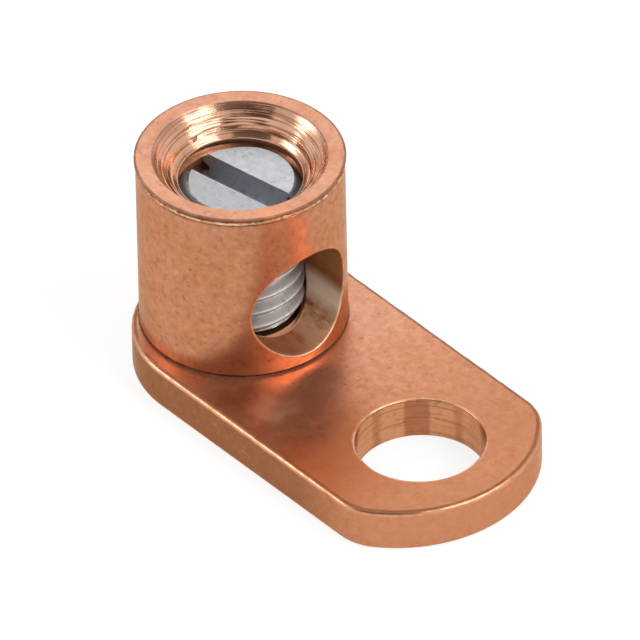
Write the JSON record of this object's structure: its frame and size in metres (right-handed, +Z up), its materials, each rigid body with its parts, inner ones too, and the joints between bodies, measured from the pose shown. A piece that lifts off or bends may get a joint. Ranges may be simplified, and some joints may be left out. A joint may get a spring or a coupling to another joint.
{
  "type": "mechanical lug",
  "caption": "Copper wire lug: flat tang with a stud hole, an upright barrel with a cross bore for the wire, and a slotted clamp screw.",
  "frame": {"origin": "centre of the stud hole on the underside of the tang, the face that sits on the busbar or terminal", "axes": "+X from the barrel towards the tip of the tang, +Z up along the stud hole, out of the seat face and parallel to the barrel and its screw"},
  "size_m": [0.0251, 0.0126, 0.0127],
  "materials": {
    "copper": "satin machined copper",
    "zinc_steel": "zinc plated"
  },
  "bodies": {
    "lug": {"lug_body": "copper"},
    "screw": {"clamp_screw": "zinc_steel"}
  },
  "joints": [
    {"name": "screw_travel", "type": "slide", "parent": "lug", "child": "screw", "axis": [0, 0, 1], "range_m": [-0.0003, 0.006]}
  ]
}
